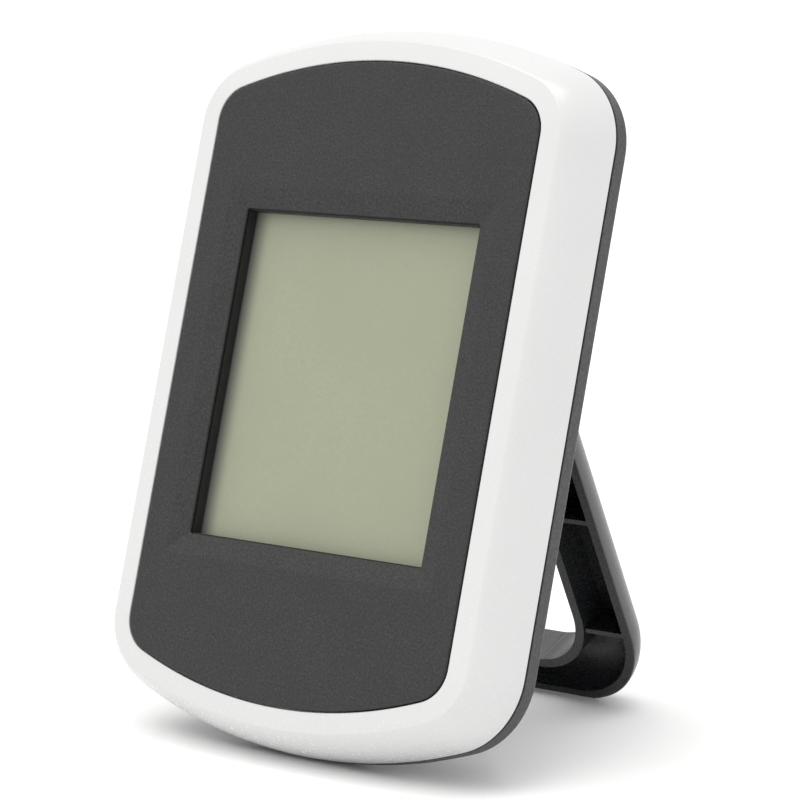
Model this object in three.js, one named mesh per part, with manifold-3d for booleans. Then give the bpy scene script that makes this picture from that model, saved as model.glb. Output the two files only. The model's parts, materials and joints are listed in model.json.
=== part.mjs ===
// Maximum minimum thermometer: a palm-sized digital thermometer on a folding stand.
// Millimetres, +Z up. The parts are laid out in the case's own frame, then the whole case is leant back.
// Case frame: x to the viewer's right, y up along the face, z out of the face, origin at the face's centre.

import * as THREE from "three";
import { mergeVertices } from "three/addons/utils/BufferGeometryUtils.js";
import Module from "manifold-3d";

const wasm = await Module();
wasm.setup();

// ---- Driving dimensions ----
const FACE_WIDTH = 58.2;
const FACE_HEIGHT = 92;
const FACE_ARC = 75.6; // radius of the curved top and bottom edges
const FACE_CORNER = 5.1;
const RIM = 6.8; // how far the case reaches out past the fascia's sides
const END_SHARE = 0.943; // the rim is this much narrower past the fascia's ends
const SEAM_Z = -8.8; // where the white frame meets the rear cover
const EDGE_Z = -11.5; // where the rear cover's side turns inwards
const BACK_Z = -20;
const BACK_INSET = 8.5;
const WALL = 1.8;
const GAP = 0.3; // clearance between pieces that touch
const FACE_GAP = 0.2; // the fine line round the fascia
const TONGUE_OUTER = 4.5; // the rear cover's tongue enters the front case between these two offsets
const TONGUE_INNER = 3.3;

const FASCIA_THICK = 1.3;
const WINDOW_WIDTH = 42.6;
const WINDOW_HEIGHT = 47.8;
const WINDOW_CORNER = 0.6;
const WINDOW_BEVEL = 3.2; // width of the sloped border round the window
const BEVEL_DEPTH = 0.9;

const FLOOR_FRONT = -1.6; // the front case's floor, which the fascia is glued to
const FLOOR_BACK = -3.1;
const DISPLAY_HALF_X = 24.6;
const DISPLAY_HALF_Y = 28.4;

const BOARD_FRONT = -7;
const BOARD_BACK = -8.2;
const BOARD_HALF_X = 30.6;
const BOARD_LOW = -31;
const BOARD_HIGH = 33;
const BOARD_CORNER = 2;
const BOARD_CLEARANCE = 0.8; // between the board and the battery tub

const STAND_LENGTH = 71.5; // from the hinge to the foot
const STAND_HALF_WIDTH = 22.2;
const STAND_THICK = 7;
const STAND_OPEN = THREE.MathUtils.degToRad(42.7);
const FOOT_CORNER = 13.6;
const FOOT_BAR = 6.5;
const HOLE_HALF_WIDTH = 12.4;
const HOLE_CORNER = 9.6;
const HINGE_BAR = 7; // from the hinge axis down to the stand's hole
const HINGE_Y = 17.2;
const HINGE_Z = -15.9;
const PIN_RADIUS = 1.6;
const PIN_LENGTH = 1.8;
const STOP_REACH = 4.2; // how far the stand's heel stands off the hinge axis

const RECESS_FLOOR = HINGE_Z + STAND_THICK / 2 + GAP;
const RECESS_CLEARANCE = 0.6;
const RECESS_WALL = 1.5;
const FOOT_Y = HINGE_Y - STAND_LENGTH; // the foot's end when the stand is folded flat
const HUB_LOW = FOOT_Y + FOOT_BAR + 0.5;
const HUB_HIGH = HINGE_Y - 8.3;
const HUB_HALF_WIDTH = HOLE_HALF_WIDTH - 0.5;
const HUB_CORNER = HOLE_CORNER - 0.5;

const CELL_RADIUS = 5.25; // an AAA cell
const CELL_LENGTH = 44.5;
const CELL_Z = -13.2;
const CELL_Y = -18;
const BAY_HALF_WIDTH = 5.9;
const BAY_LOW = -44.6;
const BAY_HIGH = 5.8;
const BAY_WALL = 1.2;
const BAY_FRONT = -7.8;
const DOOR_THICK = 1.1;
const DOOR_HALF_WIDTH = 7.9;
const DOOR_LOW = -45;
const DOOR_HIGH = 6.8;
const DOOR_CORNER = 3;
const SEAT_FLOOR = BACK_Z + DOOR_THICK + GAP;

const SCREW_PLACES = [[-21, 36.5], [21, 36.5], [-17.3, -37], [17.3, -37]];
const BOARD_SCREW_PLACES = [[-28.6, 24], [28.6, 24], [-28.6, -24], [28.6, -24]];
const BUTTON_PLACES = [[-15, 29], [0, 29], [15, 29]];
const REST_FLAT = 0.35; // how much the ground plane shaves off the two resting edges

const BEYOND = 1; // how far a cut runs past the surface it opens
const ARC_STEPS = 9;
const ROUND = 20; // facets of a small cylinder

// ---- Standing pose ----
// The case leans back until its lower rear edge and the open stand's foot reach the same ground.
const EDGE_Y = -(FACE_HEIGHT / 2 + RIM * END_SHARE);
const OPEN_FOOT_Y = HINGE_Y - STAND_LENGTH * Math.cos(STAND_OPEN) - (STAND_THICK / 2) * Math.sin(STAND_OPEN);
const OPEN_FOOT_Z = HINGE_Z - STAND_LENGTH * Math.sin(STAND_OPEN) + (STAND_THICK / 2) * Math.cos(STAND_OPEN);
const LEAN = Math.atan2(OPEN_FOOT_Y - EDGE_Y, EDGE_Z - OPEN_FOOT_Z);
const GROUND = EDGE_Y * Math.cos(LEAN) + EDGE_Z * Math.sin(LEAN);

// ---- Materials ----
function material(name, colour, roughness, metalness = 0) {
  return new THREE.MeshStandardMaterial({ name, color: colour, roughness, metalness });
}

const WHITE = material("white_gloss_plastic", 0xeceef0, 0.18);
const FASCIA_GREY = material("fascia_matte_plastic", 0x474a4c, 0.75);
const COVER_GREY = material("cover_matte_plastic", 0x46484b, 0.6);
const STAND_BLACK = material("stand_plastic", 0x2c2e30, 0.5);
const HOLDER_BLACK = material("holder_black_plastic", 0x1c1d1e, 0.6);
const LCD_GREEN = material("lcd_grey_green", 0x9ba392, 0.45);
const LCD_GLASS = material("lcd_glass", 0xaab3a4, 0.1);
const REFLECTOR = material("lcd_reflector", 0xb4b8ae, 0.5);
const ELASTOMER = material("elastomer", 0x6a6d70, 0.8);
const BOARD_GREEN = material("circuit_board", 0x1f5a34, 0.5);
const RESIN = material("black_resin", 0x151515, 0.35);
const METAL = material("tinned_steel", 0xb9bcc0, 0.3, 1);
const BRASS = material("plated_contact", 0xc6b98a, 0.35, 1);
const CERAMIC = material("component_body", 0xb08a5a, 0.55);
const SWITCH_BLACK = material("switch_body", 0x202124, 0.5);
const BUTTON_GREY = material("button_plastic", 0x8b8e91, 0.5);
const CELL_SKIN = material("cell_sleeve", 0x3b6fa0, 0.4, 0.2);
const RED_WIRE = material("red_wire", 0xa02420, 0.5);
const BLACK_WIRE = material("black_wire", 0x1b1b1b, 0.5);

// ---- Solids ----
function solid(geometry) {
  geometry.deleteAttribute("normal");
  geometry.deleteAttribute("uv");
  const merged = mergeVertices(geometry, 1e-4);
  const corners = merged.index.array;
  const kept = [];
  for (let i = 0; i < corners.length; i += 3) {
    const [a, b, c] = [corners[i], corners[i + 1], corners[i + 2]];
    if (a !== b && b !== c && c !== a) kept.push(a, b, c);
  }
  return new wasm.Manifold(new wasm.Mesh({
    numProp: 3,
    vertProperties: new Float32Array(merged.attributes.position.array),
    triVerts: new Uint32Array(kept),
  }));
}

function geometryOf(shape) {
  const mesh = shape.getMesh();
  const geometry = new THREE.BufferGeometry();
  geometry.setAttribute("position", new THREE.BufferAttribute(mesh.vertProperties, 3));
  geometry.setIndex(new THREE.BufferAttribute(mesh.triVerts, 1));
  geometry.computeVertexNormals();
  return geometry;
}

function joined(shapes) {
  return shapes.reduce((sum, shape) => sum.add(shape));
}

function without(body, cuts) {
  return cuts.reduce((rest, cut) => rest.subtract(cut), body);
}

function box(xLow, xHigh, yLow, yHigh, zLow, zHigh) {
  const geometry = new THREE.BoxGeometry(xHigh - xLow, yHigh - yLow, zHigh - zLow);
  geometry.translate((xLow + xHigh) / 2, (yLow + yHigh) / 2, (zLow + zHigh) / 2);
  return solid(geometry);
}

// A box about the z axis.
function block(halfX, halfY, zLow, zHigh) {
  return box(-halfX, halfX, -halfY, halfY, zLow, zHigh);
}

function post([x, y], radius, zLow, zHigh, facets = ROUND) {
  const geometry = new THREE.CylinderGeometry(radius, radius, zHigh - zLow, facets);
  geometry.rotateX(Math.PI / 2);
  geometry.translate(x, y, (zLow + zHigh) / 2);
  return solid(geometry);
}

function crossRod(radius, xLow, xHigh, y, z, facets = ROUND) {
  const geometry = new THREE.CylinderGeometry(radius, radius, xHigh - xLow, facets);
  geometry.rotateZ(Math.PI / 2);
  geometry.translate((xLow + xHigh) / 2, y, z);
  return solid(geometry);
}

// A round body turned about its own z axis, from a profile of [radius, z] that starts and ends on the axis.
function turned(profile, facets = ROUND) {
  const points = profile.map(([radius, z]) => new THREE.Vector2(radius, z));
  const geometry = new THREE.LatheGeometry(points, facets);
  geometry.rotateX(Math.PI / 2);
  return solid(geometry);
}

// Everything below the shaved resting plane, in the case's frame.
function underGround() {
  const turn = THREE.MathUtils.radToDeg(LEAN) - 90;
  return box(-60, 60, -120, 120, GROUND - 40, GROUND + REST_FLAT).rotate([turn, 0, 0]);
}

// ---- Outlines ----
// Each outline is a loop of arcs; the straight stretches are the gaps between one arc's end and the next.
function loopOf(arcs) {
  const points = [];
  for (const [x, y, radius, from, to] of arcs) {
    const curve = new THREE.EllipseCurve(x, y, radius, radius, from, to);
    for (const point of curve.getPoints(ARC_STEPS)) {
      const last = points[points.length - 1];
      if (!last || last.distanceTo(point) > 1e-3) points.push(point);
    }
  }
  return points;
}

// The case's outline, grown from the fascia's edge: straight sides, curved top and bottom, round corners.
function caseOutline(offset) {
  const halfWidth = FACE_WIDTH / 2 + offset;
  const arc = FACE_ARC + offset;
  const corner = FACE_CORNER + offset;
  const arcY = FACE_HEIGHT / 2 + offset * END_SHARE - arc;
  const cornerX = halfWidth - corner;
  const cornerY = arcY + Math.sqrt((arc - corner) ** 2 - cornerX ** 2);
  const lean = Math.atan2(cornerX, cornerY - arcY);
  const up = Math.PI / 2;
  const down = -Math.PI / 2;
  return loopOf([
    [cornerX, cornerY, corner, 0, up - lean],
    [0, arcY, arc, up - lean, up + lean],
    [-cornerX, cornerY, corner, up + lean, Math.PI],
    [-cornerX, -cornerY, corner, Math.PI, 2 * Math.PI + down - lean],
    [0, -arcY, arc, down - lean, down + lean],
    [cornerX, -cornerY, corner, down + lean, 0],
  ]);
}

// A slab outline between two heights, with one corner radius below and another above.
function slabOutline(halfWidth, yLow, yHigh, lowCorner, highCorner) {
  const lowX = halfWidth - lowCorner;
  const highX = halfWidth - highCorner;
  return loopOf([
    [highX, yHigh - highCorner, highCorner, 0, Math.PI / 2],
    [-highX, yHigh - highCorner, highCorner, Math.PI / 2, Math.PI],
    [-lowX, yLow + lowCorner, lowCorner, Math.PI, 1.5 * Math.PI],
    [lowX, yLow + lowCorner, lowCorner, 1.5 * Math.PI, 2 * Math.PI],
  ]);
}

// A solid through outlines with the same number of points, given as [points, z] from the lowest z up.
function loft(sections) {
  const count = sections[0][0].length;
  const positions = [];
  for (const [points, z] of sections) {
    for (const point of points) positions.push(point.x, point.y, z);
  }
  const index = [];
  for (let ring = 0; ring < sections.length - 1; ring += 1) {
    for (let i = 0; i < count; i += 1) {
      const a = ring * count + i;
      const b = ring * count + ((i + 1) % count);
      index.push(a, b, b + count, a, b + count, a + count);
    }
  }
  const top = (sections.length - 1) * count;
  for (let i = 1; i < count - 1; i += 1) {
    index.push(0, i + 1, i);
    index.push(top, top + i, top + i + 1);
  }
  const geometry = new THREE.BufferGeometry();
  geometry.setAttribute("position", new THREE.Float32BufferAttribute(positions, 3));
  geometry.setIndex(index);
  return solid(geometry);
}

function plate(points, zLow, zHigh) {
  return loft([[points, zLow], [points, zHigh]]);
}

function caseLoft(profile) {
  return loft(profile.map(([offset, z]) => [caseOutline(offset), z]));
}

// ---- Node placing ----
const caseGroup = new THREE.Group();
caseGroup.name = "case_frame";

function place(name, shape, look, parent = caseGroup, position = [0, 0, 0]) {
  const mesh = new THREE.Mesh(geometryOf(shape), look.clone());
  mesh.name = name;
  mesh.position.set(...position);
  parent.add(mesh);
  return mesh;
}

// ---- Front case and fascia ----
const FRAME_TOP = -0.15;
const LIP_OFFSET = 3.2;
const LIP_DROP = 0.3;
const CROWN_RUN = 0.9; // how the side starts to fall away outside the lip
const CROWN_FALL = 0.65;
const CAVITY_OFFSET = 4.8; // the hollow's edge at the seam
const CAVITY_TOP_OFFSET = 3.6; // and under the floor
const BOSS_RADIUS = 2.8;
const BOSS_END = -8.9;
const PILOT_RADIUS = 1.4;
const BOARD_BOSS_RADIUS = 1.8;
const BOARD_PILOT = 1.1;

// The white frame's outer profile as [offset, z], from the seam round to the lip.
function frameProfile() {
  const curve = new THREE.CubicBezierCurve(
    new THREE.Vector2(RIM, SEAM_Z),
    new THREE.Vector2(RIM - 0.3, SEAM_Z / 2),
    new THREE.Vector2(LIP_OFFSET + CROWN_RUN, FRAME_TOP - CROWN_FALL),
    new THREE.Vector2(LIP_OFFSET, FRAME_TOP - LIP_DROP),
  );
  const profile = curve.getPoints(7).map((point) => [point.x, point.y]);
  profile.push([FACE_GAP, FRAME_TOP]);
  return profile;
}

function frontCase() {
  const cuts = [
    plate(caseOutline(FACE_GAP), FLOOR_FRONT, BEYOND),
    caseLoft([
      [CAVITY_OFFSET, SEAM_Z - BEYOND],
      [CAVITY_OFFSET, SEAM_Z],
      [CAVITY_TOP_OFFSET, FLOOR_BACK],
    ]),
    block(DISPLAY_HALF_X + GAP, DISPLAY_HALF_Y + GAP, FLOOR_BACK - BEYOND, 0),
  ];
  const shell = without(caseLoft(frameProfile()), cuts);
  const bosses = SCREW_PLACES.map((at) => post(at, BOSS_RADIUS, BOSS_END, FLOOR_BACK + GAP));
  const boardBosses = BOARD_SCREW_PLACES.map((at) => {
    return post(at, BOARD_BOSS_RADIUS, BOARD_FRONT + GAP, FLOOR_BACK + GAP);
  });
  const pilots = SCREW_PLACES.map((at) => post(at, PILOT_RADIUS, BOSS_END - BEYOND, FLOOR_BACK));
  const boardPilots = BOARD_SCREW_PLACES.map((at) => {
    return post(at, BOARD_PILOT, BOARD_FRONT - BEYOND, FLOOR_BACK);
  });
  return without(joined([shell, ...bosses, ...boardBosses]), [...pilots, ...boardPilots]);
}

function fasciaPanel() {
  const halfX = WINDOW_WIDTH / 2;
  const halfY = WINDOW_HEIGHT / 2;
  const opening = (grow) => {
    return slabOutline(halfX + grow, -halfY - grow, halfY + grow, WINDOW_CORNER, WINDOW_CORNER);
  };
  const bevel = loft([
    [opening(0), -BEVEL_DEPTH],
    [opening(WINDOW_BEVEL), 0],
    [opening(WINDOW_BEVEL), BEYOND],
  ]);
  const body = plate(caseOutline(0), -FASCIA_THICK, 0);
  return without(body, [plate(opening(0), -FASCIA_THICK - BEYOND, BEYOND), bevel]);
}

// ---- Display ----
const LIP_SHOWN = 0.2; // how far the holder's lip shows inside the window
const HOLDER_LIP_FRONT = -FASCIA_THICK - 0.2;
const HOLDER_LIP_BACK = -3.1;
const HOLDER_BACK = -6.6;
const HOLDER_FLANGE_X = 26.3;
const HOLDER_FLANGE_Y = 30.6;
const GLASS_HALF_X = 23.6;
const GLASS_HALF_Y = 27.4;
const FILM_HALF_X = 22.4;
const FILM_HALF_Y = 24.7;
const POLARISER_Z = -3.3;
const FILM_THICK = 0.2;
const GLASS_FRONT = -3.8;
const GLASS_BACK = -5.6;

function lcdHolder() {
  const nose = block(DISPLAY_HALF_X, DISPLAY_HALF_Y, FLOOR_BACK - BEYOND, HOLDER_LIP_FRONT);
  const flange = block(HOLDER_FLANGE_X, HOLDER_FLANGE_Y, HOLDER_BACK, FLOOR_BACK - GAP);
  const opening = block(WINDOW_WIDTH / 2 - LIP_SHOWN, WINDOW_HEIGHT / 2 - LIP_SHOWN, HOLDER_BACK, 0);
  const pocket = block(GLASS_HALF_X + GAP, GLASS_HALF_Y + GAP, HOLDER_BACK - BEYOND, HOLDER_LIP_BACK);
  return without(nose.add(flange), [opening, pocket]);
}

function film(zFront) {
  return block(FILM_HALF_X, FILM_HALF_Y, zFront - FILM_THICK, zFront);
}

// ---- Circuit board and its parts ----
function circuitBoard() {
  const outline = slabOutline(BOARD_HALF_X, BOARD_LOW, BOARD_HIGH, BOARD_CORNER, BOARD_CORNER);
  const notchX = BAY_HALF_WIDTH + BAY_WALL + BOARD_CLEARANCE;
  const notchHigh = BAY_HIGH + BAY_WALL + BOARD_CLEARANCE;
  const [zLow, zHigh] = [BOARD_BACK - BEYOND, BOARD_FRONT + BEYOND];
  const notch = box(-notchX, notchX, BOARD_LOW - BEYOND, notchHigh, zLow, zHigh);
  const holes = BOARD_SCREW_PLACES.map((at) => post(at, BOARD_PILOT, zLow, zHigh));
  return without(plate(outline, BOARD_BACK, BOARD_FRONT), [notch, ...holes]);
}

function resinBlob() {
  const radius = 4.6;
  const height = 1.5;
  const steps = 5;
  const profile = [[0, -height]];
  for (let step = 1; step <= steps; step += 1) {
    const angle = (step / steps) * (Math.PI / 2);
    profile.push([radius * Math.sin(angle), -height * Math.cos(angle)]);
  }
  profile.push([0, 0]);
  return turned(profile);
}

const SWITCH_HALF = 3;
const SWITCH_BACK = -11.4;
const PLUNGER_RADIUS = 1.4;
const PLUNGER_BACK = -12.4;
const PLUNGER_FRONT = -11;
const PLUNGER_ROOM = 1.3; // the press and a little more

function switchBody() {
  const body = block(SWITCH_HALF, SWITCH_HALF, SWITCH_BACK, BOARD_BACK - GAP);
  const well = post([0, 0], PLUNGER_RADIUS + GAP, SWITCH_BACK - BEYOND, PLUNGER_FRONT + PLUNGER_ROOM);
  return body.subtract(well);
}

// ---- Buttons ----
const BUTTON_RADIUS = 3.2;
const BUTTON_BACK = BACK_Z - 1;
const BUTTON_FLANGE = 4.1;
const FLANGE_BACK = BACK_Z + WALL + GAP;
const FLANGE_THICK = 0.8;
const STEM_RADIUS = 1.5;

function button() {
  const edge = 0.4;
  return turned([
    [0, BUTTON_BACK],
    [BUTTON_RADIUS - edge, BUTTON_BACK],
    [BUTTON_RADIUS, BUTTON_BACK + edge],
    [BUTTON_RADIUS, FLANGE_BACK],
    [BUTTON_FLANGE, FLANGE_BACK],
    [BUTTON_FLANGE, FLANGE_BACK + FLANGE_THICK],
    [STEM_RADIUS, FLANGE_BACK + FLANGE_THICK],
    [STEM_RADIUS, PLUNGER_BACK - GAP],
    [0, PLUNGER_BACK - GAP],
  ]);
}

// ---- Battery ----
const CONTACT_HALF = 4.6;
const CONTACT_HIGH = 4.2;
const CONTACT_THICK = 0.4;
const DIMPLE_RADIUS = 1.6;

function cell() {
  const half = CELL_LENGTH / 2;
  const nub = 1.9;
  const edge = 0.5;
  const shoulder = half - 1;
  return turned([
    [0, -half],
    [CELL_RADIUS - edge, -half],
    [CELL_RADIUS, -half + edge],
    [CELL_RADIUS, shoulder - edge],
    [CELL_RADIUS - edge, shoulder],
    [nub, shoulder],
    [nub, half],
    [0, half],
  ]);
}

function contactPlate(zLow) {
  return box(-CONTACT_HALF, CONTACT_HALF, -CONTACT_HALF, CONTACT_HIGH, zLow, zLow + CONTACT_THICK);
}

function positiveContact() {
  return contactPlate(0).add(post([0, 0], DIMPLE_RADIUS, -CONTACT_THICK, CONTACT_THICK / 2));
}

// The spring's wire is a helix that widens towards its plate.
class SpringCurve extends THREE.Curve {
  getPoint(t) {
    const turns = 3.5;
    const wideRadius = 3.9;
    const narrowRadius = 2.2;
    const height = 2.9;
    const angle = 2 * Math.PI * turns * t;
    const radius = THREE.MathUtils.lerp(wideRadius, narrowRadius, t);
    return new THREE.Vector3(radius * Math.cos(angle), radius * Math.sin(angle), height * t);
  }
}

function tube(path, radius, steps, sides) {
  const section = new THREE.Shape();
  section.absarc(0, 0, radius, 0, 2 * Math.PI, false);
  const points = section.getPoints(sides / 2).slice(0, -1);
  const geometry = new THREE.ExtrudeGeometry(new THREE.Shape(points), {
    steps,
    bevelEnabled: false,
    extrudePath: path,
  });
  return solid(geometry);
}

function springContact() {
  const wireRadius = 0.35;
  const coil = tube(new SpringCurve(), wireRadius, 42, 6);
  return contactPlate(-0.5).add(coil);
}

const RIDGE_PLACES = [-41, -39.4, -37.8];
const RIDGE_HALF_LENGTH = 4;
const RIDGE_HALF_WIDTH = 0.4;
const RIDGE_PROUD = 0.3;
const CATCH_HALF = 2.5;
const CATCH_DEPTH = 1.6;

function doorOutline(grow) {
  return slabOutline(
    DOOR_HALF_WIDTH + grow, DOOR_LOW - grow, DOOR_HIGH + grow, DOOR_CORNER + grow, DOOR_CORNER + grow,
  );
}

function doorPlate() {
  const panel = plate(doorOutline(0), BACK_Z, BACK_Z + DOOR_THICK);
  const ridge = block(RIDGE_HALF_LENGTH, RIDGE_HALF_WIDTH, BACK_Z - RIDGE_PROUD, BACK_Z + RIDGE_PROUD);
  const ridges = RIDGE_PLACES.map((y) => ridge.translate([0, y, 0]));
  const [catchLow, catchHigh] = [DOOR_HIGH - 3, DOOR_HIGH - 1.6];
  const catchZ = BACK_Z + RIDGE_PROUD;
  const doorCatch = box(-CATCH_HALF, CATCH_HALF, catchLow, catchHigh, catchZ, catchZ + CATCH_DEPTH);
  return joined([panel, ...ridges, doorCatch]);
}

// ---- Rear cover ----
const COVER_TOP = SEAM_Z - GAP;
const LEDGE_THICK = 1.2; // the strip that joins the tongue to the cover's side
const CORNER_DROP = 0.75; // how much lower the cavity turns than the outside does
const WELL_RADIUS = 4;
const HEAD_HOLE = 2.7;
const HEAD_SEAT = -10.8;
const WELL_TOP = -9.2;
const TUB_FLOOR = 0.9;
const PIN_ROOM = 0.5; // past the pin's end
const POCKET_LOW = -38;
const POCKET_HIGH = 2;
const VENT_PLACES = [-4.8, -2.4, 0, 2.4, 4.8];
const VENT_HALF = 0.6;
const VENT_LOW = 35;
const VENT_HIGH = 41;

function standSlot(grow) {
  return slabOutline(
    STAND_HALF_WIDTH + RECESS_CLEARANCE + grow,
    FOOT_Y - RECESS_CLEARANCE - grow,
    HINGE_Y + STOP_REACH + GAP + grow,
    FOOT_CORNER + RECESS_CLEARANCE + grow,
    1 + grow,
  );
}

function hub() {
  const outline = slabOutline(HUB_HALF_WIDTH, HUB_LOW, HUB_HIGH, HUB_CORNER, HUB_CORNER);
  return plate(outline, BACK_Z - BEYOND, RECESS_FLOOR + BEYOND);
}

function coverEnvelope() {
  return caseLoft([[RIM - BACK_INSET, BACK_Z], [RIM, EDGE_Z], [RIM, COVER_TOP]]);
}

// The hollow shell, with a tongue that enters the front case and the ledge that carries the tongue.
function coverShell() {
  const inner = caseLoft([
    [RIM - BACK_INSET - CORNER_DROP, BACK_Z + WALL],
    [RIM - WALL, EDGE_Z + CORNER_DROP],
    [RIM - WALL, COVER_TOP + BEYOND],
  ]);
  const inside = plate(caseOutline(TONGUE_INNER), COVER_TOP - 2, SEAM_Z + 3);
  const tongue = plate(caseOutline(TONGUE_OUTER), COVER_TOP - BEYOND, SEAM_Z + 1.4).subtract(inside);
  const ledge = plate(caseOutline(RIM - 0.6), COVER_TOP - LEDGE_THICK, COVER_TOP).subtract(inside);
  return joined([coverEnvelope().subtract(inner), tongue, ledge]);
}

// The shell with the stand's recess, the battery tub and the screw wells inside it.
function coverBody() {
  const recess = plate(standSlot(RECESS_WALL), BACK_Z, RECESS_FLOOR + RECESS_WALL).intersect(coverEnvelope());
  const tubX = BAY_HALF_WIDTH + BAY_WALL;
  const tub = box(-tubX, tubX, BAY_LOW - BAY_WALL, BAY_HIGH + BAY_WALL, BACK_Z + 2, BAY_FRONT + TUB_FLOOR);
  const wells = SCREW_PLACES.map((at) => post(at, WELL_RADIUS, at[1] > 0 ? BACK_Z : RECESS_FLOOR, WELL_TOP));
  return joined([coverShell(), recess, tub, ...wells]);
}

// Slots in the tub's end walls, where the wires leave the contacts.
function wireSlots() {
  const half = 1.1;
  const zLow = RECESS_FLOOR + RECESS_WALL + 0.1;
  const upper = box(-half, half, BAY_HIGH - GAP, BAY_HIGH + BAY_WALL + BEYOND, zLow, BAY_FRONT + BEYOND);
  const lower = box(-half, half, BAY_LOW - BAY_WALL - BEYOND, BAY_LOW + GAP, zLow, BAY_FRONT + BEYOND);
  return [upper, lower];
}

// Hollows either side of the battery tub, so that the hub isn't a thick block.
function hubPocket(side) {
  const nearX = side * (BAY_HALF_WIDTH + BAY_WALL + RECESS_WALL);
  const farX = side * (HUB_HALF_WIDTH - RECESS_WALL);
  const [xLow, xHigh] = [Math.min(nearX, farX), Math.max(nearX, farX)];
  return box(xLow, xHigh, POCKET_LOW, POCKET_HIGH, SEAT_FLOOR + 1.4, RECESS_FLOOR + 2);
}

// Slots that let the room's air reach the sensor.
function vents() {
  return VENT_PLACES.map((x) => {
    return box(x - VENT_HALF, x + VENT_HALF, VENT_LOW, VENT_HIGH, BACK_Z - BEYOND, BACK_Z + WALL + BEYOND);
  });
}

function rearCover() {
  const slot = plate(standSlot(0), BACK_Z - BEYOND, RECESS_FLOOR).subtract(hub());
  const bay = box(-BAY_HALF_WIDTH, BAY_HALF_WIDTH, BAY_LOW, BAY_HIGH, BACK_Z - BEYOND, BAY_FRONT);
  const seat = plate(doorOutline(GAP), BACK_Z - BEYOND, SEAT_FLOOR);
  const heads = SCREW_PLACES.map((at) => post(at, HEAD_HOLE, BACK_Z - BEYOND, HEAD_SEAT));
  const shanks = SCREW_PLACES.map((at) => post(at, PILOT_RADIUS, BACK_Z, WELL_TOP + BEYOND));
  const buttonHoles = BUTTON_PLACES.map((at) => {
    return post(at, BUTTON_RADIUS + GAP, BACK_Z - BEYOND, BACK_Z + WALL + BEYOND);
  });
  const pinReach = STAND_HALF_WIDTH + PIN_LENGTH + PIN_ROOM;
  const pinHole = crossRod(PIN_RADIUS + GAP, -pinReach, pinReach, HINGE_Y, HINGE_Z);
  return without(coverBody(), [
    slot, bay, seat, ...wireSlots(), hubPocket(-1), hubPocket(1), ...heads, ...shanks,
    ...buttonHoles, pinHole, ...vents(), underGround(),
  ]);
}

// ---- Stand ----
// Built about its hinge axis, folded flat: the leg runs down -y and the channel faces +z.
const RIM_WALL = 1.5;
const CHANNEL_FLOOR = RIM_WALL - STAND_THICK / 2;
const RIB_HEIGHTS = [13.4, 33.9, 54.4]; // above the foot
const RIB_THICK = 0.8;
const RIB_DROP = 0.3; // from the rims' level to the ribs' tops
const EDGE_STEPS = 6;
const HEEL_HALF_WIDTH = 18;
const HEEL_LOW = -1.2;
const HEEL_HIGH = 0.8;

// The leg's outline, drawn in from its edge.
function standOutline(inset, yHigh, highCorner) {
  return slabOutline(
    STAND_HALF_WIDTH - inset, -STAND_LENGTH + inset, yHigh, FOOT_CORNER - inset, highCorner,
  );
}

// A quarter round that turns in from the rim, as [inset, z], from its deepest point up.
function quarterRound(radius, startInset) {
  const points = [];
  for (let step = EDGE_STEPS; step >= 0; step -= 1) {
    const angle = (step / EDGE_STEPS) * (Math.PI / 2);
    points.push([startInset + radius * (1 - Math.cos(angle)), STAND_THICK / 2 - radius * Math.sin(angle)]);
  }
  return points;
}

function standSlab() {
  const edge = quarterRound(STAND_THICK, 0);
  return loft(edge.map(([inset, z]) => [standOutline(inset, 0, 0.5), z]));
}

function holeOutline(grow) {
  const corner = HOLE_CORNER + grow;
  const [yLow, yHigh] = [-STAND_LENGTH + FOOT_BAR - grow, -HINGE_BAR + grow];
  return slabOutline(HOLE_HALF_WIDTH + grow, yLow, yHigh, corner, corner);
}

// The hollow between the outer and inner rims, with the cross ribs left standing.
function standChannel() {
  const rimZ = STAND_THICK / 2;
  const edge = [...quarterRound(STAND_THICK - RIM_WALL, RIM_WALL), [RIM_WALL, rimZ + BEYOND]];
  const outer = loft(edge.map(([inset, z]) => [standOutline(inset, -HINGE_BAR / 2 - RIM_WALL, 1), z]));
  const channel = outer.subtract(plate(holeOutline(RIM_WALL), CHANNEL_FLOOR - BEYOND, rimZ + 2 * BEYOND));
  const ribs = RIB_HEIGHTS.map((height) => {
    const y = height - STAND_LENGTH;
    const [yLow, yHigh] = [y - RIB_THICK / 2, y + RIB_THICK / 2];
    return box(-STAND_HALF_WIDTH, STAND_HALF_WIDTH, yLow, yHigh, CHANNEL_FLOOR - BEYOND, rimZ - RIB_DROP);
  });
  return without(channel, ribs);
}

// The stop behind the hinge, which meets the recess's upper wall when the stand is open.
function heel() {
  const bar = box(-HEEL_HALF_WIDTH, HEEL_HALF_WIDTH, 0, STOP_REACH, HEEL_LOW, HEEL_HIGH);
  return bar.rotate([-THREE.MathUtils.radToDeg(STAND_OPEN), 0, 0]);
}

function stand() {
  const barrel = crossRod(STAND_THICK / 2, -STAND_HALF_WIDTH, STAND_HALF_WIDTH, 0, 0, 28);
  const pinReach = STAND_HALF_WIDTH + PIN_LENGTH;
  const pins = crossRod(PIN_RADIUS, -pinReach, pinReach, 0, 0);
  const hole = plate(holeOutline(0), -STAND_THICK, STAND_THICK);
  const openAngle = THREE.MathUtils.radToDeg(STAND_OPEN);
  const ground = underGround().translate([0, -HINGE_Y, -HINGE_Z]).rotate([-openAngle, 0, 0]);
  return without(joined([standSlab(), barrel, pins, heel()]), [hole, standChannel(), ground]);
}

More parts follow.
